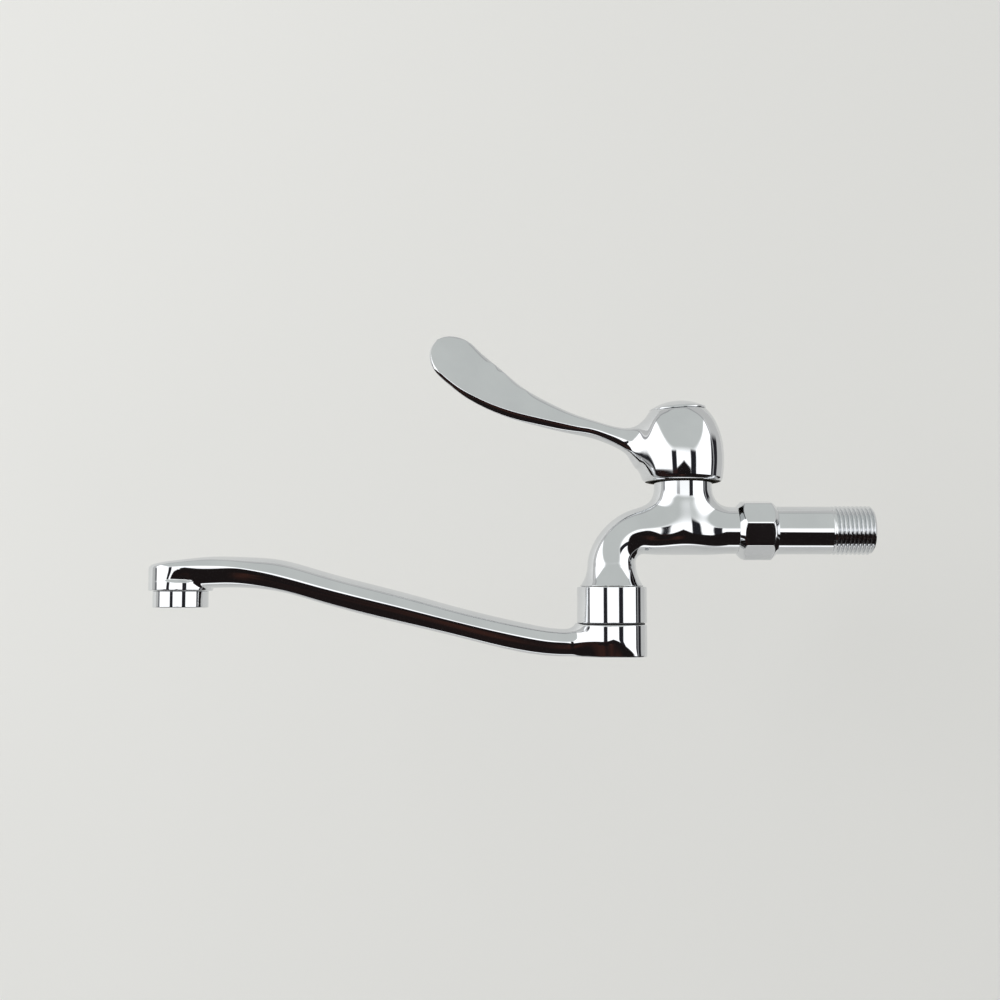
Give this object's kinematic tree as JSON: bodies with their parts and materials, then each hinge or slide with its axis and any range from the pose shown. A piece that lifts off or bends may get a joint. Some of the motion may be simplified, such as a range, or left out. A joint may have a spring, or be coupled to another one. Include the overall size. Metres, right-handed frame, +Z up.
{
  "type": "utility sink faucet",
  "caption": "Wall mounted utility sink faucet with a quarter turn lever handle, a swivelling S shaped spout and an aerator.",
  "frame": {"origin": "centre of the inlet thread's end face, where the tap meets the wall fitting", "axes": "+X along the inlet into the wall, +Z up along the handle's axis, +Y sideways; the spout and the lever point to -X at rest"},
  "size_m": [0.3101, 0.037, 0.1391],
  "materials": {
    "chrome": "polished",
    "brass": "machined",
    "steel": "satin",
    "rubber": "matt",
    "ceramic": "lapped",
    "plastic_white": "matt",
    "plastic_black": "matt"
  },
  "bodies": {
    "valve": {"valve_body": "chrome", "inlet_nipple": "chrome", "inlet_seal": "rubber", "seat_seal": "rubber", "headwork_body": "brass", "headwork_gasket": "rubber", "fixed_disc": "ceramic", "swivel_nut": "chrome", "slip_washer": "plastic_white"},
    "handle_group": {"handle": "chrome", "spline_bush": "plastic_black", "handle_screw": "steel", "screw_washer": "steel", "handle_cap": "chrome", "spindle": "brass", "spindle_o_rings": "rubber", "spindle_clip": "steel", "thrust_washer": "plastic_white", "moving_disc": "ceramic"},
    "spout_group": {"spout": "chrome", "spout_spigot": "brass", "spout_o_rings": "rubber", "retaining_ring": "steel", "base_washer": "rubber", "aerator_ring": "chrome", "aerator_washer": "rubber", "aerator_core": "plastic_white", "aerator_screens": "steel", "diffuser": "plastic_white"}
  },
  "joints": [
    {"name": "handle_turn", "type": "hinge", "parent": "valve", "child": "handle_group", "pos_m": [-0.0808, 0, 0.03], "axis": [0, 0, 1], "range_deg": [0, 90]},
    {"name": "spout_swivel", "type": "hinge", "parent": "valve", "child": "spout_group", "pos_m": [-0.1117, 0, -0.04], "axis": [0, 0, 1], "range_deg": [-110, 110]}
  ]
}
